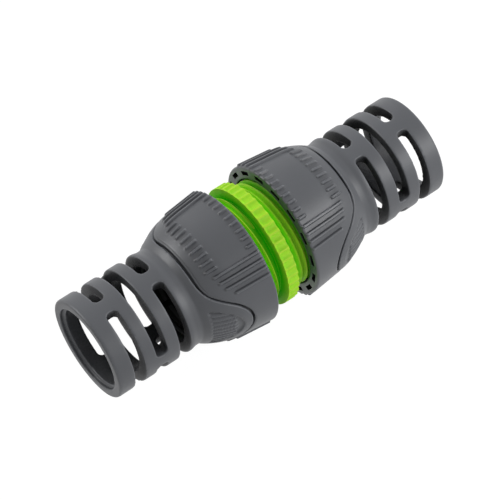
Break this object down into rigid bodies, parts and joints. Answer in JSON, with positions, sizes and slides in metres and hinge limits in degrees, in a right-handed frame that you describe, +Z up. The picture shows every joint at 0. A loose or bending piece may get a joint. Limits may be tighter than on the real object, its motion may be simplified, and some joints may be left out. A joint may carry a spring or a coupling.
{
  "type": "hose mender",
  "caption": "Straight hose mender: green body with a knurled ring and barbed tails, a ribbed clamping nut and a slotted kink guard on each side.",
  "frame": {"origin": "centre of the knurled ring, on the hose axis", "axes": "+X along the hose axis toward the right nut, +Z up; the part lies on its nuts' lower ribs"},
  "size_m": [0.0936, 0.0342, 0.0352],
  "materials": {
    "green_plastic": "satin",
    "grey_plastic": "matte",
    "soft_grey_plastic": "matte",
    "black_plastic": "matte"
  },
  "bodies": {
    "core": {"core_body": "green_plastic"},
    "left_collet": {"left_collet": "black_plastic"},
    "left_nut": {"left_nut": "grey_plastic", "left_kink_guard": "soft_grey_plastic"},
    "right_collet": {"right_collet": "black_plastic"},
    "right_nut": {"right_nut": "grey_plastic", "right_kink_guard": "soft_grey_plastic"}
  },
  "joints": [
    {"name": "left_collet_slide", "type": "slide", "parent": "core", "child": "left_collet", "axis": [-1, 0, 0], "range_m": [-0.0036, 0.006]},
    {"name": "left_nut_turn", "type": "hinge", "parent": "left_collet", "child": "left_nut", "pos_m": [-0.006, 0, 0], "axis": [-1, 0, 0], "range_deg": [-433, 721]},
    {"name": "right_collet_slide", "type": "slide", "parent": "core", "child": "right_collet", "axis": [1, 0, 0], "range_m": [-0.0036, 0.006]},
    {"name": "right_nut_turn", "type": "hinge", "parent": "right_collet", "child": "right_nut", "pos_m": [0.006, 0, 0], "axis": [1, 0, 0], "range_deg": [-433, 721]}
  ],
  "couplings": [
    {"joint": "left_nut_turn", "follows": "left_collet_slide", "rad_per_m": 2094.4},
    {"joint": "right_nut_turn", "follows": "right_collet_slide", "rad_per_m": 2094.4}
  ]
}
